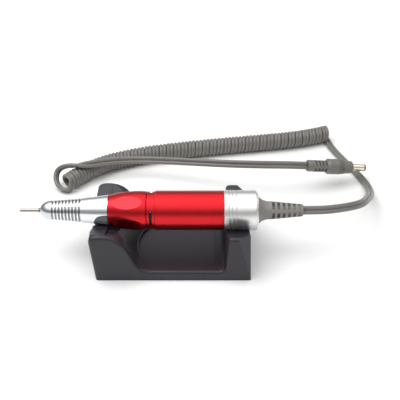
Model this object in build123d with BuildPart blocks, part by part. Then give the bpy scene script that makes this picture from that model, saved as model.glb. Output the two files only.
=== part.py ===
"""A pen-shaped electric nail drill lying in its moulded cradle, with its curly power cord.

Millimetres, +Z up, X along the drill with the bit at -X.  The origin is on the table, in the middle
of the drill and cradle.  "Station" is the distance behind the tip of the nose cone, along the drill.
"""
from build123d import *
import os
from math import cos, pi, radians, sin, tan

# ---- driving dimensions ---------------------------------------------------------------------
AXIS_Z = 35.0            # height of the drill's axis above the table
BIT_OUT = 14.8           # bit shank showing in front of the nose cone
BIT_IN = 24.0            # bit shank held inside the collet
BIT_R = 1.175            # 3/32 inch shank
GRIP_RINGS = 9           # ring grooves round the nose cone
GRIP_PITCH = 2.33
NOSE_END = 46.3          # rear end of the chrome nose cone
SLEEVE = (46.6, 72.5)    # front and rear of the twist sleeve
RING_FRONT = 72.8        # front edge of the slotted ring on the motor housing
RING_REAR = 78.4
CAP = (125.6, 149.1)     # front and rear of the rear cap
RELIEF_END = 180.3       # end of the strain relief
BODY_R = 13.7            # motor housing, outside
BODY_BORE_R = 12.2
RING_R = 13.0
CAP_R = 13.9
SLOT_X = 75.7            # station of the three twist slots
SLOT_W = 1.9
SLOT_ARC = 51.5          # degrees swept by each twist slot
SLOT_FIRST = 56.2        # start of the first slot, degrees from straight up towards -Y
TWIST = 45.0             # degrees that the sleeve turns
FLAT_FIRST = 31.0        # first finger flat, degrees from straight up towards -Y
FLATS = 5
FLAT_LEAN = 5.5          # the flats run out towards the nose by this many degrees
SPINDLE_R = 3.0
TUBE_R = 9.3             # front tube, where the twist sleeve turns on it
RUNNING = 0.1            # running clearance, radial
COLLET_TRAVEL = 0.8
SHAFT_R = 1.5
BEARING_R = 5.0
BEARING_W = 3.0
BEARINGS = (5.5, 9.5, 51.5)      # front stations of the three spindle bearings
RELIEF_SLOTS = 6
RELIEF_SLOT_R = 3.4      # bottom of the strain relief's slots
RELIEF_WEB = 62.0        # first web between the slots, degrees from straight up towards -Y
PUSH_X = 49.6            # station of the drive pins in the push ring
CROSS_X = 46.6           # station of the pin through drawbar, spindle and collar

CRADLE_W = 66.0
CRADLE_FRONT = 38.2      # stations of the foot of the cradle
CRADLE_REAR = 143.8
LIP_Z = 7.0              # top of the low side wall
FLOOR_Z = 3.0            # floor of the trough
NOSE_EAR_Z = 36.5
TAIL_EAR_Z = 34.8
CREST_Y = 31.0           # the ears' inner slopes rise from the drill to here
SADDLE_GAP = 0.3         # clearance left between the drill and its saddles
LEDGE_Z = 5.5            # step round the floor of the trough
TROUGH_HALF = 26.5       # half the trough's width
TROUGH_ROUND = 15.5      # length of its half-oval nose end, which starts at station TROUGH_X
TROUGH_X = 80.0
TROUGH_LEAN = 0.69       # how far the oval end leans towards the nose per millimetre of height

CORD_W = 6.1             # flat twin cord, two cores side by side
CORD_T = 3.05
CORD_TURN = 55.0         # degrees that the flat cord is turned about the drill's axis where it leaves
CORD_TUBE_R = 2.15       # round tube with the same section area as the flat cord
COIL_R = 7.25
PLUG_LENGTH = 39.4       # boot and moulded body
BARREL_LENGTH = 12.0
BARREL_R = 2.75
BARREL_STUB_R = 2.3      # the barrel's narrower rear end, inside the plug's body
INSULATOR_R = 2.1
CONTACT_R = 1.45         # the inner contact, outside and bore
CONTACT_BORE_R = 1.1
BARREL_START = PLUG_LENGTH - 5.8
TIP_START = PLUG_LENGTH + BARREL_LENGTH - 1.2      # front of the barrel and rear of its black tip

# The cord's route.  The lead runs from the strain relief to the coil, on the table from its sixth
# bend on; the coil lies on the table; the plug lead loops up from the coil's end and over it.
LEAD = [
    (97.9, 0.0, 35.0), (114.0, 1.0, 34.6), (129.0, 7.0, 32.4), (142.0, 18.0, 27.6), (149.5, 33.0, 21.0),
    (156.0, 50.0, 13.0), (160.0, 66.0, 5.6), (160.5, 83.0, 2.2), (155.0, 100.0, 2.3), (147.5, 119.0, 2.2),
    (140.5, 138.0, 2.4), (137.0, 149.0, 3.4),
]
COIL = [
    (138.0, 154.0, 7.3), (116.0, 145.0, 7.3), (80.0, 138.5, 7.3), (43.0, 132.3, 7.3), (5.0, 124.8, 7.3),
    (-30.0, 115.5, 7.3), (-62.0, 99.0, 7.3), (-78.0, 77.0, 7.3),
]
PLUG_LEAD = [
    (-72.0, 77.1, 4.2), (-75.7, 71.8, 2.7), (-81.4, 71.9, 2.2), (-86.5, 76.7, 3.4), (-89.3, 82.9, 7.0),
    (-87.6, 88.0, 12.0), (-80.8, 87.6, 15.8), (-71.5, 86.2, 16.9), (-60.0, 88.5, 16.8), (-48.6, 94.0, 15.8),
    (-31.0, 97.5, 15.2), (-5.7, 94.6, 16.5), (26.3, 85.8, 20.0), (50.6, 78.5, 23.2), (76.0, 74.8, 24.8),
    (96.6, 75.3, 24.3), (110.7, 79.1, 21.3),
]
PLUG_TIP = (156.6, 91.5, 11.5)

# ---- frame ----------------------------------------------------------------------------------
NOSE_X = -(RELIEF_END - BIT_OUT) / 2          # world X of station 0
DRILL_AXIS = Axis((NOSE_X, 0, AXIS_Z), (1, 0, 0))


def axial(angle=0.0):
    """Plane through the drill's axis: x is the station, y the radius, turned by angle from straight up."""
    a = radians(angle)
    return Plane(origin=(NOSE_X, 0, AXIS_Z), x_dir=(1, 0, 0), z_dir=(0, -cos(a), -sin(a)))


def section(*outline, angle=0.0):
    """Closed outline of (station, radius) corners, for a turned piece."""
    with BuildSketch(axial(angle)) as face:
        with BuildLine():
            Polyline(*outline, close=True)
        make_face()
    return face.sketch


def tube(x0, x1, r0, r1):
    """Section of a plain ring from station x0 to x1, between radii r0 and r1."""
    return section((x0, r0), (x1, r0), (x1, r1), (x0, r1))


def around(station, radius, count, first=0.0):
    """Places round the drill's axis whose own z axis points outwards."""
    return [
        Location((NOSE_X + station, 0, AXIS_Z), (first + i * 360 / count, 0, 0)) * Location((0, 0, radius))
        for i in range(count)
    ]


def bend_radii(route):
    """Radius of the arc at each inner point: 0.45 of the shorter run over the tangent of half the turn."""
    points = [Vector(*p) for p in route]
    radii = []
    for before, here, after in zip(points, points[1:], points[2:]):
        run = min((here - before).length, (after - here).length)
        turn = (here - before).get_angle(after - here)
        radii.append(0.45 * run / tan(radians(turn / 2)))
    return radii


def cord_tube(route, radius):
    """Round tube along straight runs joined by tangent arcs."""
    radii = bend_radii(route)
    with BuildPart() as cord:
        with BuildLine():
            path = FilletPolyline(*route, radius=radii)
        start = Plane(origin=path @ 0, z_dir=path % 0)
        with BuildSketch(start):
            Circle(radius)
        sweep()
    print("radii", [round(r, 1) for r in radii], "length", round(path.length, 1),
          "volume ratio", round(cord.part.volume / (pi * radius**2 * path.length), 4))
    return cord


# ---- cradle ---------------------------------------------------------------------------------
with BuildPart() as cradle:
    side = Plane(origin=(NOSE_X, -CRADLE_W / 2, 0), x_dir=(1, 0, 0), z_dir=(0, -1, 0))
    with BuildSketch(side):
        with BuildLine():
            Line((CRADLE_FRONT, 0), (CRADLE_FRONT - 2.7, NOSE_EAR_Z - 6))
            Bezier((CRADLE_FRONT - 2.7, NOSE_EAR_Z - 6), (CRADLE_FRONT - 3.2, NOSE_EAR_Z - 1),
                   (CRADLE_FRONT + 0.5, NOSE_EAR_Z), (CRADLE_FRONT + 5, NOSE_EAR_Z))
            Bezier((CRADLE_FRONT + 5, NOSE_EAR_Z), (CRADLE_FRONT + 14, NOSE_EAR_Z),
                   (CRADLE_FRONT + 19, NOSE_EAR_Z - 4.5), (CRADLE_FRONT + 22, NOSE_EAR_Z - 11))
            Bezier((CRADLE_FRONT + 22, NOSE_EAR_Z - 11), (CRADLE_FRONT + 27, NOSE_EAR_Z - 22),
                   (CRADLE_FRONT + 28.5, LIP_Z), (CRADLE_FRONT + 39, LIP_Z))
            Line((CRADLE_FRONT + 39, LIP_Z), (CRADLE_REAR - 21.5, LIP_Z))
            RadiusArc((CRADLE_REAR - 21.5, LIP_Z), (CRADLE_REAR - 17.2, LIP_Z + 4.6), -4.6)
            Line((CRADLE_REAR - 17.2, LIP_Z + 4.6), (CRADLE_REAR - 16.0, TAIL_EAR_Z - 3))
            Bezier((CRADLE_REAR - 16.0, TAIL_EAR_Z - 3), (CRADLE_REAR - 15.9, TAIL_EAR_Z - 1),
                   (CRADLE_REAR - 15.0, TAIL_EAR_Z), (CRADLE_REAR - 13.0, TAIL_EAR_Z))
            Line((CRADLE_REAR - 13.0, TAIL_EAR_Z), (CRADLE_REAR - 0.8, TAIL_EAR_Z))
            Line((CRADLE_REAR - 0.8, TAIL_EAR_Z), (CRADLE_REAR, 0))
            Line((CRADLE_REAR, 0), (CRADLE_FRONT, 0))
        make_face()
    extrude(amount=-CRADLE_W)
    # the rear corners are cut back by a facet that widens upwards
    for hand in (-1, 1):
        foot = Vector(NOSE_X + CRADLE_REAR, hand * CRADLE_W / 2, 0)
        front = Vector(NOSE_X + CRADLE_REAR - 9.2, hand * CRADLE_W / 2, TAIL_EAR_Z)
        rear = Vector(NOSE_X + CRADLE_REAR - 0.8, hand * (CRADLE_W / 2 - 9.0), TAIL_EAR_Z)
        outward = (front - foot).cross(rear - foot) * hand
        split(bisect_by=Plane(origin=foot, x_dir=front - foot, z_dir=outward), keep=Keep.BOTTOM)
    outer_edges = cradle.edges().filter_by(
        lambda e: abs(abs(e.center().Y) - CRADLE_W / 2) < 0.05 and e.center().Z > 1.0
    )
    fillet(outer_edges, radius=2.2)
    # trough: half oval and leaning back at the nose end, square at the tail end, with a sunk floor
    trough_rear = CRADLE_REAR - 19.3
    for level, half, oval, rear, rise in (
        (FLOOR_Z, TROUGH_HALF - 1.0, TROUGH_ROUND - 1.0, trough_rear - 4.0, (0, 0, 1)),
        (LEDGE_Z, TROUGH_HALF, TROUGH_ROUND, trough_rear, (-TROUGH_LEAN, 0, 1)),
        (LEDGE_Z, TROUGH_HALF, 0.0, trough_rear, (0, 0, 1)),
    ):
        with BuildSketch(Plane.XY.offset(level)):
            if oval:
                with Locations((NOSE_X + TROUGH_X, 0)):
                    Ellipse(oval, half)
            with Locations((NOSE_X + (TROUGH_X + rear) / 2, 0)):
                Rectangle(rear - TROUGH_X, 2 * half)
        extrude(amount=1.2 * NOSE_EAR_Z, dir=rise, mode=Mode.SUBTRACT)
    # saddles: the nose cone lies in the front one, and the sleeve and rear cap in the wider channel
    for front, rear, radius, crest in (
        (CRADLE_FRONT - 6, SLEEVE[0], 10.7 + SADDLE_GAP, (CREST_Y, NOSE_EAR_Z, AXIS_Z - 7.0)),
        (SLEEVE[0] - 0.5, TROUGH_X, CAP_R + SADDLE_GAP, (CREST_Y, NOSE_EAR_Z, AXIS_Z - 8.0)),
        (TROUGH_X, CRADLE_REAR + 2, CAP_R + SADDLE_GAP, (CREST_Y, TAIL_EAR_Z, AXIS_Z - 9.0)),
    ):
        with BuildSketch(Plane(origin=(NOSE_X + front, 0, 0), x_dir=(0, 1, 0), z_dir=(1, 0, 0))):
            with Locations((0, AXIS_Z)):
                Circle(radius)
            with Locations((0, AXIS_Z + NOSE_EAR_Z / 2)):
                Rectangle(2 * radius, NOSE_EAR_Z)
            half, outer_z, inner_z = crest
            with BuildLine():
                Polyline((-half, outer_z), (-radius, inner_z), (radius, inner_z), (half, outer_z),
                         (half, 2 * NOSE_EAR_Z), (-half, 2 * NOSE_EAR_Z), close=True)
            make_face()
        extrude(amount=rear - front, mode=Mode.SUBTRACT)
    # cores moulded in from below, under both saddles
    for centre, length, height in ((49.5, 12.0, 15.0), (135.4, 9.0, 14.0)):
        with BuildSketch(Plane.XY):
            with Locations((NOSE_X + centre, 0)):
                RectangleRounded(length, CRADLE_W - 14, 2)
        extrude(amount=height, taper=3, mode=Mode.SUBTRACT)

# ---- nose, housing and cap ------------------------------------------------------------------
with BuildPart() as nose_cone:
    with BuildSketch(axial()):
        with BuildLine():
            Line((0, 3.3), (0, 3.9))
            ThreePointArc((0, 3.9), (2.6, 5.75), (7.3, 6.85))
            Polyline((7.3, 6.85), (28.0, 8.45), (NOSE_END, 10.7), (NOSE_END, 7.3), (28.0, 7.3),
                     (28.0, 4.2), (14.0, 4.2), (14.0, BEARING_R), (5.4, BEARING_R), (5.4, 4.6),
                     (2.0, 4.6), (2.0, 3.3), (0, 3.3))
        make_face()
    revolve(axis=DRILL_AXIS)
    for i in range(GRIP_RINGS):
        groove = 8.4 + i * GRIP_PITCH
        wall = 6.85 + (groove - 7.3) * 1.6 / 20.7
        revolve(section((groove - 0.85, wall + 0.4), (groove - 0.42, wall - 0.7), (groove + 0.42, wall - 0.7),
                        (groove + 0.85, wall + 0.4)), axis=DRILL_AXIS, mode=Mode.SUBTRACT)

with BuildPart() as dust_seal:
    revolve(tube(2.2, 5.2, SPINDLE_R + RUNNING, 4.6), axis=DRILL_AXIS)

with BuildPart() as front_tube:
    revolve(section((28.3, 5.6), (28.3, 7.3), (46.3, 7.3), (46.3, TUBE_R), (78.0, TUBE_R),
                    (78.0, BODY_BORE_R), (82.0, BODY_BORE_R), (82.0, 6.6), (54.6, 6.6), (54.6, BEARING_R),
                    (51.4, BEARING_R), (51.4, 5.6)), axis=DRILL_AXIS)
    with Locations(around(PUSH_X - COLLET_TRAVEL / 2, 5.0, 3)):
        Box(2.5, 1.7, 6.0, align=(Align.CENTER, Align.CENTER, Align.MIN), mode=Mode.SUBTRACT)
    with Locations(around(80.0, 8.6, 2, 90)):
        Cylinder(1.05, 6, rotation=(0, 90, 0), mode=Mode.SUBTRACT)

with BuildPart() as motor_housing:
    revolve(section((RING_FRONT, BODY_BORE_R), (RING_FRONT, RING_R - 0.3), (RING_FRONT + 0.3, RING_R),
                    (RING_REAR, RING_R), (RING_REAR, BODY_R - 0.25), (RING_REAR + 0.25, BODY_R),
                    (CAP[0] - 0.35, BODY_R), (CAP[0] - 0.1, BODY_R - 0.25), (CAP[0] - 0.1, BODY_BORE_R)),
            axis=DRILL_AXIS)
    for i in range(3):
        slot = section((SLOT_X - SLOT_W / 2, BODY_BORE_R - 1), (SLOT_X + SLOT_W / 2, BODY_BORE_R - 1),
                       (SLOT_X + SLOT_W / 2, BODY_R), (SLOT_X - SLOT_W / 2, BODY_R),
                       angle=SLOT_FIRST + i * 120)
        revolve(slot, axis=DRILL_AXIS, revolution_arc=SLOT_ARC, mode=Mode.SUBTRACT)

with BuildPart() as rear_cap:
    revolve(section((CAP[0] - 7, 11.2), (CAP[0] - 7, BODY_BORE_R), (CAP[0], BODY_BORE_R),
                    (CAP[0], CAP_R - 0.3), (CAP[0] + 0.3, CAP_R), (CAP[1] - 1.9, CAP_R),
                    (CAP[1] - 0.6, CAP_R - 0.55), (CAP[1], CAP_R - 1.9), (CAP[1], 5.0),
                    (CAP[1] - 2.4, 5.0), (CAP[1] - 2.4, 11.2)),
            axis=DRILL_AXIS)
    for groove in (CAP[0] + 3.3, CAP[0] + 5.6, CAP[0] + 8.3):
        revolve(section((groove - 0.5, CAP_R + 0.1), (groove, CAP_R - 0.6), (groove + 0.5, CAP_R + 0.1)),
                axis=DRILL_AXIS, mode=Mode.SUBTRACT)
    revolve(tube(CAP[1] - 2.9, CAP[1] - 2.6, CAP_R - 0.2, CAP_R + 1), axis=DRILL_AXIS, mode=Mode.SUBTRACT)
    with Locations(around(CAP[1] - 1.3, CAP_R - 0.3, 36)):
        Cylinder(0.5, 1.0, rotation=(0, 55, 0), mode=Mode.SUBTRACT)

with BuildPart() as strain_relief:
    with BuildSketch(axial()):
        with BuildLine():
            Polyline((RELIEF_END, 0), (CAP[1] - 4.8, 0), (CAP[1] - 4.8, 7.5), (CAP[1] - 2.4, 7.5),
                     (CAP[1] - 2.4, 5.0), (CAP[1], 5.0), (CAP[1], 9.3), (CAP[1] + 0.7, 9.3))
            ThreePointArc((CAP[1] + 0.7, 9.3), (CAP[1] + 3.6, 7.2), (CAP[1] + 9.0, 6.3))
            Polyline((CAP[1] + 9.0, 6.3), (RELIEF_END - 0.6, 4.25), (RELIEF_END, 3.75), (RELIEF_END, 0))
        make_face()
    revolve(axis=DRILL_AXIS)
    with BuildSketch(Plane(origin=(NOSE_X + CAP[1] - 6, 0, AXIS_Z), x_dir=(0, 1, 0), z_dir=(1, 0, 0))):
        SlotOverall(CORD_W, CORD_T, rotation=CORD_TURN)
    extrude(amount=40, mode=Mode.SUBTRACT)
    # six rows of bending slots, four slots to a row
    for i in range(RELIEF_SLOTS):
        front = CAP[1] + 9.5 + i * 3.62
        for quarter in range(4):
            opening = section((front, RELIEF_SLOT_R), (front + 1.8, RELIEF_SLOT_R), (front + 1.8, 8.0),
                              (front, 8.0), angle=RELIEF_WEB + 13 + quarter * 90)
            revolve(opening, axis=DRILL_AXIS, revolution_arc=64, mode=Mode.SUBTRACT)

with BuildPart() as cable_tail:
    with BuildSketch(Plane(origin=(NOSE_X + CAP[1] - 5.6, 0, AXIS_Z), x_dir=(0, 1, 0), z_dir=(1, 0, 0))):
        SlotOverall(CORD_W, CORD_T, rotation=CORD_TURN)
    extrude(amount=RELIEF_END - CAP[1] + 5.6)

# ---- twist lock -----------------------------------------------------------------------------
with BuildPart() as twist_sleeve:
    with BuildSketch(axial()):
        with BuildLine():
            Polyline((SLEEVE[0], TUBE_R + RUNNING), (SLEEVE[0], 10.6))
            ThreePointArc((SLEEVE[0], 10.6), (60.9, 13.4), (SLEEVE[1], 13.2))
            Polyline((SLEEVE[1], 13.2), (SLEEVE[1], 12.0), (64.0, 12.0), (64.0, TUBE_R + RUNNING),
                     (SLEEVE[0], TUBE_R + RUNNING))
        make_face()
    revolve(axis=DRILL_AXIS)
    for place in around(60.2, 12.5, FLATS, FLAT_FIRST):
        with Locations(place * Location((0, 0, 0), (0, -FLAT_LEAN, 0))):
            Box(40, 20, 6, align=(Align.CENTER, Align.CENTER, Align.MIN), mode=Mode.SUBTRACT)
    # cam grooves inside, wide enough for the drive pins' whole travel
    for i in range(3):
        groove = section((PUSH_X - 1.6, TUBE_R - 1), (PUSH_X + 0.8, TUBE_R - 1), (PUSH_X + 0.8, 10.1),
                         (PUSH_X - 1.6, 10.1), angle=i * 120 - TWIST - 6)
        revolve(groove, axis=DRILL_AXIS, revolution_arc=TWIST + 12, mode=Mode.SUBTRACT)

with BuildPart() as lock_ring:
    revolve(tube(64.0, 77.6, 10.6, 12.0), axis=DRILL_AXIS)
    with Locations(around(SLOT_X, 10.0, 3, SLOT_FIRST + 3.4)):
        Cylinder(0.65, 4, mode=Mode.SUBTRACT)

with BuildPart() as guide_pins:
    with Locations(around(SLOT_X, 11.7, 3, SLOT_FIRST + 3.4)):
        Cylinder(0.65, 1.9)

with BuildPart() as push_ring:
    revolve(tube(PUSH_X - 1.4, PUSH_X + 1.0, 3.3, 5.5), axis=DRILL_AXIS)
    with Locations(around(PUSH_X, 4.9, 3)):
        Cylinder(0.7, 2, mode=Mode.SUBTRACT)

with BuildPart() as drive_pins:
    with Locations(around(PUSH_X, 3.9, 3)):
        Cylinder(0.7, 6.0, align=(Align.CENTER, Align.CENTER, Align.MIN))

# ---- spindle, collet and bit ----------------------------------------------------------------
with BuildPart() as spindle:
    revolve(section((0.6, 2.5), (0.6, SPINDLE_R), (57.3, SPINDLE_R), (57.3, 2.0), (62.5, 2.0), (62.5, 0),
                    (49.0, 0), (49.0, 2.0), (4.2, 2.0)), axis=DRILL_AXIS)
    with Locations((NOSE_X + CROSS_X - COLLET_TRAVEL / 2, 0, AXIS_Z)):
        Box(2.5, 8, 1.7, mode=Mode.SUBTRACT)

with BuildPart() as bearing_inners:
    for front in BEARINGS:
        revolve(tube(front, front + BEARING_W, SPINDLE_R, 3.55), axis=DRILL_AXIS)

with BuildPart() as bearing_balls:
    for front in BEARINGS:
        with Locations(around(front + BEARING_W / 2, 4.0, 7)):
            Sphere(0.43)

with BuildPart() as bearing_outers:
    for front in BEARINGS:
        revolve(tube(front, front + BEARING_W, 4.45, BEARING_R), axis=DRILL_AXIS)

with BuildPart() as spring_seat:
    revolve(tube(31.0, 32.5, SPINDLE_R, 4.6), axis=DRILL_AXIS)

with BuildPart() as collet:
    revolve(section((-2.0, BIT_R + 0.03), (-2.0, 1.5), (-0.4, 1.6), (0.3, 2.4), (4.0, 1.9), (28.0, 1.9),
                    (28.0, 0), (BIT_IN + 0.6, 0), (BIT_IN + 0.6, BIT_R + 0.03)), axis=DRILL_AXIS)
    with Locations(around(6.0, 0, 3, 30)):
        Box(18, 0.4, 4, align=(Align.CENTER, Align.CENTER, Align.MIN), mode=Mode.SUBTRACT)

with BuildPart() as drawbar:
    with BuildSketch(Plane(origin=(NOSE_X + 28, 0, AXIS_Z), x_dir=(0, 1, 0), z_dir=(1, 0, 0))):
        Circle(1.9)
    extrude(amount=20.2)
    with Locations((NOSE_X + CROSS_X, 0, AXIS_Z)):
        Cylinder(0.75, 8, rotation=(90, 0, 0), mode=Mode.SUBTRACT)

with BuildPart() as release_collar:
    revolve(tube(CROSS_X - 1.4, CROSS_X + 1.4, SPINDLE_R + RUNNING, 5.3), axis=DRILL_AXIS)
    with Locations((NOSE_X + CROSS_X, 0, AXIS_Z)):
        Cylinder(0.75, 12, rotation=(90, 0, 0), mode=Mode.SUBTRACT)

with BuildPart() as cross_pin:
    with Locations((NOSE_X + CROSS_X, 0, AXIS_Z)):
        Cylinder(0.75, 10.2, rotation=(90, 0, 0))

with BuildPart() as collet_spring:
    with BuildLine():
        coil_line = Helix(pitch=1.85, height=10.4, radius=3.95, center=(NOSE_X + 34.1, 0, AXIS_Z),
                          direction=(1, 0, 0))
    with BuildSketch(Plane(origin=coil_line @ 0, z_dir=coil_line % 0)):
        Circle(0.45)
    sweep()

with BuildPart() as bit_shank:
    revolve(section((-BIT_OUT, 0), (-BIT_OUT, BIT_R - 0.2), (-BIT_OUT + 0.2, BIT_R), (BIT_IN - 0.3, BIT_R),
                    (BIT_IN, BIT_R - 0.3), (BIT_IN, 0)), axis=DRILL_AXIS)

# ---- motor ----------------------------------------------------------------------------------
with BuildPart() as motor_can:
    revolve(section((83.0, 3.0), (83.0, 11.0), (113.0, 11.0), (113.0, 10.2), (84.2, 10.2), (84.2, 3.0)),
            axis=DRILL_AXIS)
    with Locations(around(83.5, 8.6, 2, 90)):
        Cylinder(1.05, 4, rotation=(0, 90, 0), mode=Mode.SUBTRACT)

with BuildPart() as motor_screws:
    with Locations(around(81.6, 8.6, 2, 90)):
        Cylinder(1.05, 5.2, rotation=(0, 90, 0))

with BuildPart() as damping_sleeve:
    revolve(tube(86.0, 110.0, 11.0, BODY_BORE_R), axis=DRILL_AXIS)

with BuildPart() as motor_magnets:
    for first in (15.0, 195.0):
        arc_face = section((86.0, 8.7), (108.0, 8.7), (108.0, 10.2), (86.0, 10.2), angle=first)
        revolve(arc_face, axis=DRILL_AXIS, revolution_arc=150)

with BuildPart() as motor_bushes:
    revolve(tube(83.0, 85.6, SHAFT_R + 0.03, 3.0), axis=DRILL_AXIS)
    revolve(tube(113.4, 116.6, SHAFT_R + 0.03, 3.0), axis=DRILL_AXIS)

with BuildPart() as motor_shaft:
    revolve(section((69.0, 0), (69.0, SHAFT_R), (118.0, SHAFT_R), (118.0, 0)), axis=DRILL_AXIS)

with BuildPart() as rotor_core:
    revolve(tube(89.0, 105.0, SHAFT_R, 8.3), axis=DRILL_AXIS)
    with Locations(around(97.0, 4.0, 5)):
        Box(17, 2.6, 3.2, align=(Align.CENTER, Align.CENTER, Align.MIN), mode=Mode.SUBTRACT)
        Box(17, 0.8, 5, align=(Align.CENTER, Align.CENTER, Align.MIN), mode=Mode.SUBTRACT)

with BuildPart() as rotor_windings:
    for front, rear in ((86.2, 89.0), (105.0, 107.8)):
        revolve(tube(front, rear, SHAFT_R, 7.6), axis=DRILL_AXIS)
    with Locations(around(97.0, 4.0, 5)):
        Box(16, 2.6, 3.2, align=(Align.CENTER, Align.CENTER, Align.MIN))

with BuildPart() as commutator:
    revolve(tube(108.2, 112.4, SHAFT_R, 3.4), axis=DRILL_AXIS)

with BuildPart() as brushes:
    with Locations(around(110.4, 3.5, 2)):
        Box(2.6, 2.8, 3.6, align=(Align.CENTER, Align.CENTER, Align.MIN))

with BuildPart() as brush_springs:
    with Locations(around(110.4, 7.1, 2)):
        Cylinder(1.0, 2.4, align=(Align.CENTER, Align.CENTER, Align.MIN))

with BuildPart() as brush_holders:
    with Locations(around(110.75, 4.6, 2)):
        Box(4.5, 4.4, 5.2, align=(Align.CENTER, Align.CENTER, Align.MIN))
    with Locations(around(110.4, 3.0, 2)):
        Box(2.7, 2.9, 6.5, align=(Align.CENTER, Align.CENTER, Align.MIN), mode=Mode.SUBTRACT)

with BuildPart() as motor_end_plate:
    revolve(tube(113.0, 117.0, 3.0, 11.0), axis=DRILL_AXIS)

with BuildPart() as motor_terminals:
    with Locations(around(119.2, 6.5, 2, 90)):
        Box(4.4, 3.0, 0.6)

with BuildPart() as supply_wires:
    for hand in (-1, 1):
        wire_x = NOSE_X + 121.4
        with BuildLine() as wire_route:
            Spline((wire_x, hand * 6.5, AXIS_Z), (wire_x + 11, hand * 4.2, AXIS_Z + hand * 1.5),
                   (wire_x + 22.1, hand * 1.45, AXIS_Z), tangents=((1, 0, 0), (1, 0, 0)))
        wire_line = wire_route.line
        with BuildSketch(Plane(origin=wire_line @ 0, z_dir=wire_line % 0)):
            Circle(0.7)
        sweep(path=wire_line)

# ---- couplings ------------------------------------------------------------------------------
with BuildPart() as spindle_coupling:
    revolve(tube(57.5, 62.5, 2.0, 4.5), axis=DRILL_AXIS)
    with Locations(around(64.7, 1.8, 2)):
        Box(4.4, 3.0, 2.4, align=(Align.CENTER, Align.CENTER, Align.MIN))

with BuildPart() as motor_coupling:
    revolve(tube(68.2, 73.0, SHAFT_R, 4.5), axis=DRILL_AXIS)
    with Locations(around(65.6, 1.8, 2, 90)):
        Box(5.2, 3.0, 2.4, align=(Align.CENTER, Align.CENTER, Align.MIN))

# ---- cord and plug --------------------------------------------------------------------------
cord_lead = cord_tube(LEAD, CORD_TUBE_R)
cord_coil = cord_tube(COIL, COIL_R)
plug_lead = cord_tube(PLUG_LEAD, CORD_TUBE_R)

plug_start = Vector(*PLUG_LEAD[-1])
plug_dir = (Vector(*PLUG_TIP) - plug_start).normalized()
plug_side = Vector(0, 0, 1).cross(plug_dir).normalized()
# x runs along the plug from the cord to the tip, y is the radius
PLUG_PLANE = Plane(origin=plug_start, x_dir=plug_dir, z_dir=plug_side)
PLUG_AXIS = Axis(plug_start, plug_dir)


def plug_tube(x0, x1, r0, r1):
    """Section of a ring on the plug's own axis."""
    with BuildSketch(PLUG_PLANE) as face:
        with BuildLine():
            Polyline((x0, r0), (x1, r0), (x1, r1), (x0, r1), close=True)
        make_face()
    return face.sketch


with BuildPart() as plug_body:
    with BuildSketch(PLUG_PLANE):
        with BuildLine():
            Polyline((0, 0), (0, 4.0), (0.8, 4.6), (16.4, 4.6), (18.1, 6.15), (26.6, 6.15),
                     (PLUG_LENGTH - 0.8, 4.9), (PLUG_LENGTH, 4.2), (PLUG_LENGTH, 0), close=True)
        make_face()
    revolve(axis=PLUG_AXIS)
    for i in range(4):
        slot_x = 6.4 + i * 2.95
        for angle in (25, 115, 205, 295):
            place = PLUG_PLANE * Location((slot_x, 0, 0), (angle, 0, 0)) * Location((0, 3.1, 0))
            with Locations(place):
                Box(1.5, 3.0, 4.6, align=(Align.CENTER, Align.MIN, Align.CENTER), mode=Mode.SUBTRACT)
    for i in range(4):
        rib_x = 26.4 + i * 1.3
        revolve(plug_tube(rib_x, rib_x + 0.5, 5.62 - i * 0.11, 7.0), axis=PLUG_AXIS, mode=Mode.SUBTRACT)
    socket = plug_tube(BARREL_START - 0.2, PLUG_LENGTH + 1, 0, BARREL_STUB_R)
    revolve(socket, axis=PLUG_AXIS, mode=Mode.SUBTRACT)

with BuildPart() as plug_barrel:
    revolve(plug_tube(BARREL_START, PLUG_LENGTH + 0.2, INSULATOR_R, BARREL_STUB_R), axis=PLUG_AXIS)
    revolve(plug_tube(PLUG_LENGTH + 0.2, TIP_START, INSULATOR_R, BARREL_R), axis=PLUG_AXIS)

with BuildPart() as plug_insulator:
    revolve(plug_tube(BARREL_START, TIP_START, CONTACT_R, INSULATOR_R), axis=PLUG_AXIS)
    revolve(plug_tube(TIP_START, PLUG_LENGTH + BARREL_LENGTH, CONTACT_R, BARREL_R - 0.03), axis=PLUG_AXIS)

with BuildPart() as plug_contact:
    revolve(plug_tube(BARREL_START, TIP_START + 0.2, CONTACT_BORE_R, CONTACT_R), axis=PLUG_AXIS)

# ---- write every piece ----------------------------------------------------------------------
PIECES = {
    "cradle": cradle, "nose_cone": nose_cone, "dust_seal": dust_seal, "front_tube": front_tube,
    "motor_housing": motor_housing, "rear_cap": rear_cap, "strain_relief": strain_relief,
    "cable_tail": cable_tail, "twist_sleeve": twist_sleeve, "lock_ring": lock_ring,
    "guide_pins": guide_pins, "push_ring": push_ring, "drive_pins": drive_pins, "spindle": spindle,
    "bearing_inners": bearing_inners, "bearing_balls": bearing_balls, "bearing_outers": bearing_outers,
    "spring_seat": spring_seat, "collet": collet, "drawbar": drawbar, "release_collar": release_collar,
    "cross_pin": cross_pin, "collet_spring": collet_spring, "bit_shank": bit_shank,
    "motor_can": motor_can, "motor_screws": motor_screws, "damping_sleeve": damping_sleeve,
    "motor_magnets": motor_magnets, "motor_bushes": motor_bushes, "motor_shaft": motor_shaft,
    "rotor_core": rotor_core, "rotor_windings": rotor_windings, "commutator": commutator,
    "brushes": brushes, "brush_springs": brush_springs, "brush_holders": brush_holders,
    "motor_end_plate": motor_end_plate, "motor_terminals": motor_terminals, "supply_wires": supply_wires,
    "spindle_coupling": spindle_coupling, "motor_coupling": motor_coupling, "cord_lead": cord_lead,
    "cord_coil": cord_coil, "plug_lead": plug_lead, "plug_body": plug_body, "plug_barrel": plug_barrel,
    "plug_insulator": plug_insulator, "plug_contact": plug_contact,
}
os.makedirs("parts", exist_ok=True)
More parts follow.
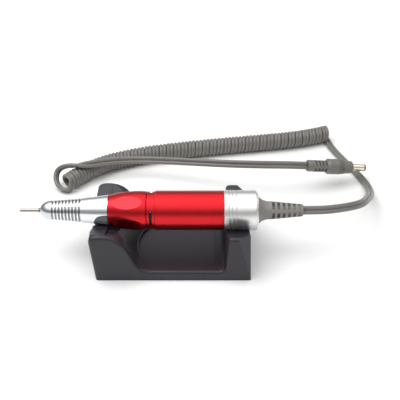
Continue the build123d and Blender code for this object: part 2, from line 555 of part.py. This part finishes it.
for name, piece in PIECES.items():
    piece.part.label = name
    export_step(piece.part, f"parts/{name}.step")
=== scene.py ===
from math import radians

import bmesh
import bpy
import numpy as np
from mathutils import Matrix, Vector


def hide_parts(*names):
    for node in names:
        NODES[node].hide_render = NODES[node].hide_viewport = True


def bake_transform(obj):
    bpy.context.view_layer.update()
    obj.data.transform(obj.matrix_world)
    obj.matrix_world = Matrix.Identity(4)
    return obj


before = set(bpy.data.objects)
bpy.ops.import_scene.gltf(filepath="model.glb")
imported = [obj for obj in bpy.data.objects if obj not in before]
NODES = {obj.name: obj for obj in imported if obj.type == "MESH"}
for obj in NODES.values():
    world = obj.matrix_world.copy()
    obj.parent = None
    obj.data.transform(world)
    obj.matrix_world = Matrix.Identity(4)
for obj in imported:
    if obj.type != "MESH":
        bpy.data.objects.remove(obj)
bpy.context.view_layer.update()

MM = 0.001

# ---- sizes of the cord ------------------------------------------------------------------------
CORE_R = 1.52 * MM           # one core of the flat twin cord; its width is four of these
CORE_SWEEP = 163             # degrees of each core's outline, both ways from its outer edge
CORE_POINTS = 13
COIL_R = 5.7 * MM            # from the coil's axis to the middle of the cord
TURNS = 38
POINTS_PER_TURN = 20
OPENING = 120                # degrees by which the last turn stops short, where it opens out
UNEVEN = 0.012               # share by which the coil's radius varies
UNEVEN_RATE = 2.3            # radians of that variation to a turn
RING_STEP = 0.6 * MM         # between two rings of the cord's mesh

# ---- the nose cone's grip ---------------------------------------------------------------------
AXIS_Z = 35 * MM             # height of the drill's axis
WALL = ((-75.35 * MM, 6.85 * MM), (-54.75 * MM, 8.45 * MM))    # X and radius at both ends of the grip
PAINTED_GROOVE_SHADE = 0.34          # share of its colour that the chrome keeps in a groove: painted shade
PAINTED_TIP_SHADE = 0.8              # and on the tip: painted shade there too
PAINTED_SHADE_DEPTHS = (0.05 * MM, 0.4 * MM)       # depths over which the painted shade comes in

# ---- the cord's route -------------------------------------------------------------------------
# The route of the drawing: the lead from the strain relief down to the coil, the coil's axis, and
# the lead that loops over the coil's end and runs to the plug.  The flat cord lies lower on the
# table than the drawing's round tube does.
LEAD = np.array([
    (96.1, 0, 35), (102, 0, 35), (114, 1, 34.6), (129, 7, 32.4), (142, 18, 27.6), (149.5, 33, 21),
    (156, 50, 13), (160, 66, 5.6), (160.5, 83, 1.8), (155, 100, 1.7), (147.5, 119, 1.7), (140.5, 138, 1.7),
]) * MM
COIL = np.array([
    (138, 154, 7.3), (116, 145, 7.3), (80, 138.5, 7.3), (43, 132.3, 7.3), (5, 124.8, 7.3),
    (-30, 115.5, 7.3), (-62, 99, 7.3), (-78, 77, 7.3),
]) * MM
PLUG_LEAD = np.array([
    (-75.7, 71.8, 3.1), (-81.4, 71.9, 2.7), (-86.5, 76.7, 3.4), (-89.3, 82.9, 7), (-87.6, 88, 12),
    (-80.8, 87.6, 15.8), (-71.5, 86.2, 16.9), (-60, 88.5, 16.8), (-48.6, 94, 15.8), (-31, 97.5, 15.2),
    (-5.7, 94.6, 16.5), (26.3, 85.8, 20), (50.6, 78.5, 23.2), (76, 74.8, 24.8), (96.6, 75.3, 24.3),
    (110.7, 79.1, 21.3),
]) * MM
FORWARD_UP = (0.0, -0.82, 0.57)                    # the way the flat side of the plug lead faces
LOOP_CENTRE = np.array((-80, 80.5, 9.5)) * MM      # the loop at the coil's end goes round this point
LEAD_TURN = np.array((10, 80)) * MM                # the lead turns flat to the table between these Y
LOOP_POINTS = 7                                    # how many of the plug lead's points are in the loop


# ---- small tools ------------------------------------------------------------------------------
def linear(colour):
    """An sRGB hex colour, such as #c0ffee, as linear RGBA."""
    share = [int(colour[i:i + 2], 16) / 255 for i in (1, 3, 5)]
    return [c / 12.92 if c <= 0.04045 else ((c + 0.055) / 1.055) ** 2.4 for c in share] + [1.0]


def node(tree, kind, inputs=None, **settings):
    """Adds a node with its settings; an input is a value, or another node's output to link."""
    made = tree.nodes.new("ShaderNode" + kind)
    for key, value in settings.items():
        setattr(made, key, value)
    for key, value in (inputs or {}).items():
        if isinstance(value, bpy.types.NodeSocket):
            tree.links.new(value, made.inputs[key])
        else:
            made.inputs[key].default_value = value
    return made


def unit(rows):
    """Each row divided by its length."""
    return rows / np.linalg.norm(rows, axis=1, keepdims=True)


def along(line):
    """Distance along a line at each of its points."""
    return np.concatenate([[0], np.cumsum(np.linalg.norm(np.diff(line, axis=0), axis=1))])


def spline_line(points, resolution):
    """The points of a smooth NURBS spline whose control points are these."""
    curve = bpy.data.curves.new("route", "CURVE")
    curve.dimensions = "3D"
    curve.resolution_u = resolution
    spline = curve.splines.new("NURBS")
    spline.points.add(len(points) - 1)
    spline.points.foreach_set("co", np.column_stack([points, np.ones(len(points))]).ravel())
    spline.order_u = 3
    spline.use_endpoint_u = True
    holder = bpy.data.objects.new("route", curve)
    mesh = bpy.data.meshes.new_from_object(holder)
    line = np.empty(3 * len(mesh.vertices))
    mesh.vertices.foreach_get("co", line)
    bpy.data.meshes.remove(mesh)
    bpy.data.curves.remove(curve)
    return line.reshape(-1, 3)


def lofted(name, rings, material):
    """A closed solid from rings of points: ring i, point j is rings[i, j]; both ends are flat faces."""
    count, around = rings.shape[:2]
    here = np.arange(count - 1)[:, None] * around + np.arange(around)
    there = np.arange(count - 1)[:, None] * around + (np.arange(around) + 1) % around
    sides = np.stack([here, there, there + around, here + around], axis=-1).reshape(-1, 4)
    ends = [list(range(around))[::-1], list(range((count - 1) * around, count * around))]
    mesh = bpy.data.meshes.new(name)
    mesh.from_pydata(rings.reshape(-1, 3).tolist(), [], sides.tolist() + ends)
    faces = bmesh.new()
    faces.from_mesh(mesh)
    bmesh.ops.recalc_face_normals(faces, faces=faces.faces)
    faces.to_mesh(mesh)
    faces.free()
    mesh.shade_smooth()
    mesh.materials.append(material)
    piece = bpy.data.objects.new(name, mesh)
    bpy.context.scene.collection.objects.link(piece)
    return piece


# ---- materials --------------------------------------------------------------------------------
def painted_ring_shade(tree, place):
    """How much of its colour the nose cone keeps, as painted shade: least in its ring grooves, a little less
    on its tip.

    A groove is where the surface lies nearer the drill's axis than the cone's straight wall does.
    """
    off_axis = node(tree, "VectorMath", {0: place, 1: (0, 0, AXIS_Z)}, operation="SUBTRACT")
    across = node(tree, "VectorMath", {0: off_axis.outputs["Vector"], 1: (0, 1, 1)}, operation="MULTIPLY")
    radius = node(tree, "VectorMath", {0: across.outputs["Vector"]}, operation="LENGTH").outputs["Value"]
    x = node(tree, "SeparateXYZ", {"Vector": place}).outputs["X"]
    wall = node(tree, "MapRange", {"Value": x, "From Min": WALL[0][0], "From Max": WALL[1][0],
                                   "To Min": WALL[0][1], "To Max": WALL[1][1]}).outputs["Result"]
    sunk = node(tree, "Math", {0: wall, 1: radius}, operation="SUBTRACT").outputs["Value"]
    # painted shade in the ring grooves: the deeper the surface lies, the darker the colour
    groove = node(tree, "MapRange", {"Value": sunk, "From Min": PAINTED_SHADE_DEPTHS[0], "From Max": PAINTED_SHADE_DEPTHS[1],
                                     "To Min": 1.0, "To Max": PAINTED_GROOVE_SHADE}).outputs["Result"]
    # painted shade on the tip, in front of the grip
    return node(tree, "MapRange", {"Value": x, "From Min": WALL[0][0], "From Max": WALL[0][0] + 0.3 * MM,
                                   "To Min": PAINTED_TIP_SHADE, "To Max": groove}).outputs["Result"]


def finish(name, colour, roughness, metallic=0.0, grain=0.3, depth=0.01, mottle=0.06, spread=0.06,
           stretch=(1, 1, 1), painted_shade=None, **sockets):
    """One moulded, cast, turned or plated surface.

    grain is the size of its texture and depth the height of it, both in millimetres.  mottle is how
    much its colour varies over the large scale, and spread how much its roughness does.  stretch
    makes the texture finer along an axis, as turning or brushing does.  The painted-shade argument
    paints shade into the colour: it gives a share of the colour that is kept at each place.
    """
    made = bpy.data.materials.new(name)
    made.use_nodes = True
    tree = made.node_tree
    tree.nodes.clear()
    place = node(tree, "TexCoord").outputs["Object"]
    fitted = node(tree, "Mapping", {"Vector": place, "Scale": stretch}).outputs["Vector"]
    fine = node(tree, "TexNoise", {"Vector": fitted, "Scale": 1 / (grain * MM), "Detail": 3.0})
    broad = node(tree, "TexNoise", {"Vector": place, "Scale": 1 / (9 * MM), "Detail": 2.0})
    shade = node(tree, "MapRange", {"Value": broad.outputs["Fac"], "From Min": 0.3, "From Max": 0.7,
                                    "To Min": 1 - mottle, "To Max": 1 + mottle})
    tint = node(tree, "VectorMath", {0: linear(colour)[:3], "Scale": shade.outputs["Result"]},
                operation="SCALE")
    # painted shade: the colour is darkened by the share that the painted-shade argument gives
    if painted_shade:
        tint = node(tree, "VectorMath", {0: tint.outputs["Vector"], "Scale": painted_shade(tree, place)},
                    operation="SCALE")
    gloss = node(tree, "MapRange", {"Value": fine.outputs["Fac"], "From Min": 0.3, "From Max": 0.7,
                                    "To Min": max(roughness - spread, 0.02), "To Max": roughness + spread})
    relief = node(tree, "Bump", {"Height": fine.outputs["Fac"], "Strength": 1.0, "Distance": depth * MM})
    surface = node(tree, "BsdfPrincipled", {
        "Base Color": tint.outputs["Vector"], "Roughness": gloss.outputs["Result"], "Metallic": metallic,
        "Normal": relief.outputs["Normal"], **sockets})
    node(tree, "OutputMaterial", {"Surface": surface.outputs["BSDF"]})
    return made


# Aluminium, bead-blasted and dyed red in the anodising bath: a deep satin red that glows where it
# faces the light, with a grain that is just visible.
red_anodised = finish("red_anodised_aluminium", "#d4242c", 0.3, metallic=1.0, grain=0.35, depth=0.006,
                      mottle=0.03, **{"Coat Weight": 0.15, "Coat Roughness": 0.25})
# Brass or steel under bright chrome: a mirror with the faintest turning marks, with painted shade in its ring
# grooves and a little on its tip.
chrome = finish("polished_chrome", "#eceef1", 0.08, metallic=1.0, grain=0.5, depth=0.001, mottle=0.01,
                spread=0.02, stretch=(4, 1, 1), painted_shade=painted_ring_shade)
# Aluminium, turned and blasted, clear anodised: silky, with soft broad highlights.
satin_aluminium = finish("satin_aluminium", "#efefee", 0.33, metallic=1.0, grain=0.3, depth=0.008,
                         mottle=0.02, stretch=(3, 1, 1))
# Hardened steel of the bit, ground: bright with fine rings.
ground_steel = finish("ground_steel", "#a1998e", 0.26, metallic=1.0, grain=0.25, depth=0.004, mottle=0.03,
                      stretch=(5, 1, 1))
# Oil-darkened tool steel of the collet, spindle and pins.
tool_steel = finish("tool_steel", "#8d8379", 0.32, metallic=1.0, grain=0.3, depth=0.006, mottle=0.08)
# Dark steel of the tube and ring under the sleeve: its near-black colour is painted shade, so the sleeve's
# slots show dark.
black_steel = finish("black_steel", "#2c2b2c", 0.4, metallic=1.0, grain=0.3, depth=0.006, mottle=0.08)
# Soft PVC, moulded: a warm grey with a dull skin.
soft_pvc = finish("soft_pvc", "#74716b", 0.4, grain=0.5, depth=0.012, mottle=0.04)
# The same PVC in the strain relief, a little paler.
pale_pvc = finish("pale_pvc", "#827f79", 0.42, grain=0.5, depth=0.012, mottle=0.04)
# The cord's extruded PVC jacket: the same grey, smoother and a little glossier.
cord_pvc = finish("cord_pvc", "#75726d", 0.33, grain=0.8, depth=0.006, mottle=0.05)
# ABS, moulded in a lightly etched tool: charcoal with a satin skin.
charcoal_abs = finish("charcoal_abs", "#252129", 0.42, grain=0.45, depth=0.02, mottle=0.05)
# Nickel on brass: a warm bright barrel.
nickel = finish("nickel_plate", "#f6eeda", 0.24, metallic=1.0, grain=0.4, depth=0.003, mottle=0.02)
# Hard black plastic of the plug's tip, brush holders and motor end plate.
black_nylon = finish("black_nylon", "#1d1c1d", 0.45, grain=0.4, depth=0.01, mottle=0.05)
# Nitrile rubber of the dust seal and the motor's sleeve.
black_rubber = finish("black_rubber", "#1a1919", 0.7, grain=0.5, depth=0.02, mottle=0.06)
# Sheet steel of the motor can, zinc plated and dull.
zinc_plate = finish("zinc_plate", "#b9bbbd", 0.35, metallic=1.0, grain=0.6, depth=0.005, mottle=0.05)
# Pressed ferrite of the motor magnets.
ferrite = finish("ferrite", "#2e2c2d", 0.6, grain=0.25, depth=0.015, mottle=0.08)
# Stacked iron sheets of the rotor: rings along the shaft, half a millimetre each.
laminated_steel = finish("laminated_steel", "#7b7a78", 0.4, metallic=1.0, grain=0.5, depth=0.02,
                         mottle=0.06, stretch=(3, 0.3, 0.3))
# Enamelled copper wire: warm brown and glossy.
enamelled_copper = finish("enamelled_copper", "#9c4a1f", 0.3, metallic=0.9, grain=0.35, depth=0.05,
                          mottle=0.12, stretch=(0.4, 2, 2))
# Bare drawn copper and bronze.
copper = finish("bare_copper", "#c07a4c", 0.3, metallic=1.0, grain=0.3, depth=0.006, mottle=0.06)
bronze = finish("sintered_bronze", "#a07d46", 0.45, metallic=1.0, grain=0.2, depth=0.012, mottle=0.08)
# Pressed carbon of the brushes.
carbon = finish("carbon", "#262524", 0.5, grain=0.15, depth=0.01, mottle=0.1)
# Spring steel wire.
spring_steel = finish("spring_steel", "#9b9a97", 0.25, metallic=1.0, grain=0.3, depth=0.004, mottle=0.05)

FINISHES = {
    red_anodised: ("twist_sleeve", "motor_housing"),
    chrome: ("nose_cone",),
    satin_aluminium: ("rear_cap",),
    black_steel: ("front_tube", "lock_ring"),
    ground_steel: ("bit_shank", "bearing_inners", "bearing_outers", "bearing_balls"),
    tool_steel: ("spindle", "collet", "drawbar", "release_collar", "cross_pin", "push_ring", "drive_pins",
                 "guide_pins", "motor_shaft", "spring_seat", "motor_screws"),
    soft_pvc: ("plug_body",),
    pale_pvc: ("strain_relief",),
    cord_pvc: ("cable_tail", "supply_wires", "cord_lead", "cord_coil", "plug_lead"),
    charcoal_abs: ("cradle",),
    nickel: ("plug_barrel",),
    black_nylon: ("plug_insulator", "brush_holders", "motor_end_plate", "motor_coupling", "spindle_coupling"),
    black_rubber: ("dust_seal", "damping_sleeve"),
    zinc_plate: ("motor_can",),
    ferrite: ("motor_magnets",),
    laminated_steel: ("rotor_core",),
    enamelled_copper: ("rotor_windings",),
    copper: ("commutator", "motor_terminals", "plug_contact"),
    bronze: ("motor_bushes",),
    carbon: ("brushes",),
    spring_steel: ("collet_spring", "brush_springs"),
}
for material, names in FINISHES.items():
    for name in names:
        for place in NODES[name].material_slots:
            place.material = material


# ---- cord -------------------------------------------------------------------------------------
def winding():
    """The coil's turns: the coil's axis plus COIL_R times a direction that turns evenly about it.

    It starts under the axis, goes round by the back and the top, and stops OPENING degrees before
    the end of its last turn.  Also gives that direction, which is the way the cord's flat side faces.
    """
    axis = spline_line(COIL, 24)
    total = TURNS * 360 - OPENING
    count = round(total / 360 * POINTS_PER_TURN) + 1
    share = np.linspace(0, 1, count)
    station = along(axis)
    centre = np.column_stack([np.interp(share * station[-1], station, axis[:, k]) for k in range(3)])
    forward = unit(np.gradient(centre, axis=0))
    front = unit(np.cross((0, 0, 1), forward))
    up = np.cross(forward, front)
    turn = np.radians(-90 - share * total)[:, None]
    outward = np.cos(turn) * front + np.sin(turn) * up
    uneven = 1 + UNEVEN * np.sin(share * TURNS * UNEVEN_RATE)[:, None]
    return centre + COIL_R * uneven * outward, outward


def flat_cord(name, material):
    """Sweeps the twin cord's section along its line: the lead, the coil's turns, then the plug lead.

    The section is two circles of radius CORE_R side by side, cut where they meet, with their middles
    CORE_R either side of the line.  A point of it is the line's point, plus its sideways part times the
    wide direction, plus its other part times facing, the way that the cord's flat side looks.
    """
    turns, outward = winding()
    in_loop = PLUG_LEAD[:LOOP_POINTS] - LOOP_CENTRE
    flat_down = np.clip((LEAD[:, 1:2] - LEAD_TURN[0]) / (LEAD_TURN[1] - LEAD_TURN[0]), 0, 1)
    facing = np.vstack([
        unit(flat_down * (0.0, 0.0, -1.0) - (1 - flat_down) * FORWARD_UP), outward, unit(in_loop),
        np.tile(FORWARD_UP, (len(PLUG_LEAD) - LOOP_POINTS, 1)),
    ])
    line = spline_line(np.vstack([LEAD, turns, PLUG_LEAD]), 8)
    facing = spline_line(facing, 8)
    station = along(line)
    steps = np.linspace(0, station[-1], round(station[-1] / RING_STEP) + 1)
    line, facing = (
        np.column_stack([np.interp(steps, station, rows[:, k]) for k in range(3)]) for rows in (line, facing)
    )
    forward = unit(np.gradient(line, axis=0))
    facing = unit(facing - (facing * forward).sum(axis=1, keepdims=True) * forward)
    wide = np.cross(forward, facing)
    sweep = np.radians(np.linspace(-CORE_SWEEP, CORE_SWEEP, CORE_POINTS))
    right = np.column_stack([CORE_R + CORE_R * np.cos(sweep), CORE_R * np.sin(sweep)])
    outline = np.vstack([right, -right])
    rings = (line[:, None] + outline[None, :, :1] * wide[:, None] + outline[None, :, 1:] * facing[:, None])
    return lofted(name, rings, material), line


cord, cord_line = flat_cord("curly_cord", cord_pvc)
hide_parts("cord_lead", "cord_coil", "plug_lead")
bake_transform(cord)
print("cord length", round(along(cord_line)[-1], 4))


# ---- table, light and camera ------------------------------------------------------------------
def white_table():
    """A white table top, 4 m square, just under the cradle."""
    half, top = 2.0, -0.0001
    corners = [(-half, -half, top), (half, -half, top), (half, half, top), (-half, half, top)]
    mesh = bpy.data.meshes.new("table_top")
    mesh.from_pydata(corners, [], [(0, 1, 2, 3)])
    mesh.materials.append(finish("white_laminate", "#f6f7f6", 0.6, grain=0.6, depth=0.002, mottle=0.004))
    table = bpy.data.objects.new("table_top", mesh)
    bpy.context.scene.collection.objects.link(table)


def area_light(name, place, target, width, height, watts):
    """A rectangular softbox at place, turned to face target."""
    lamp = bpy.data.lights.new(name, "AREA")
    lamp.shape = "RECTANGLE"
    lamp.size, lamp.size_y = width, height
    lamp.energy = watts
    holder = bpy.data.objects.new(name, lamp)
    holder.location = place
    holder.rotation_euler = (Vector(target) - Vector(place)).to_track_quat("-Z", "Y").to_euler()
    bpy.context.scene.collection.objects.link(holder)


white_table()
area_light("key", (-0.42, 0.02, 0.85), (0.02, 0.05, 0.02), 0.55, 0.55, 3.6)

sky = bpy.data.worlds.new("studio")
bpy.context.scene.world = sky
sky.use_nodes = True
sky.node_tree.nodes.clear()
direction = node(sky.node_tree, "TexCoord").outputs["Generated"]
height = node(sky.node_tree, "SeparateXYZ", {"Vector": direction}).outputs["Z"]
ramp = node(sky.node_tree, "ValToRGB", {"Fac": height})
# Height in the sky and brightness there.  The two dark bands near the horizon show as thin lines along
# the polished and anodised metal.
stops = ((0.0, 0.75), (0.08, 0.65), (0.1, 0.12), (0.13, 0.12), (0.15, 0.6), (0.24, 0.42), (0.27, 0.1),
         (0.31, 0.1), (0.34, 0.4), (0.5, 0.42), (0.75, 1.3), (1.0, 1.5))
for at, level in stops[1:-1]:
    ramp.color_ramp.elements.new(at)
for stop, (at, level) in zip(ramp.color_ramp.elements, stops):
    stop.position = at
    stop.color = (level, level, level, 1)
glow = node(sky.node_tree, "Background", {"Color": ramp.outputs["Color"], "Strength": 1.0})
node(sky.node_tree, "OutputWorld", {"Surface": glow.outputs["Background"]})

lens = bpy.data.cameras.new("camera")
lens.lens = 67.5
lens.sensor_width = 36
camera = bpy.data.objects.new("camera", lens)
camera.location = (0.0265, -0.4197, 0.3375)
camera.rotation_euler = (radians(90 - 35), 0, 0)
bpy.context.scene.collection.objects.link(camera)
bpy.context.scene.camera = camera
bpy.context.scene.view_settings.view_transform = "Standard"
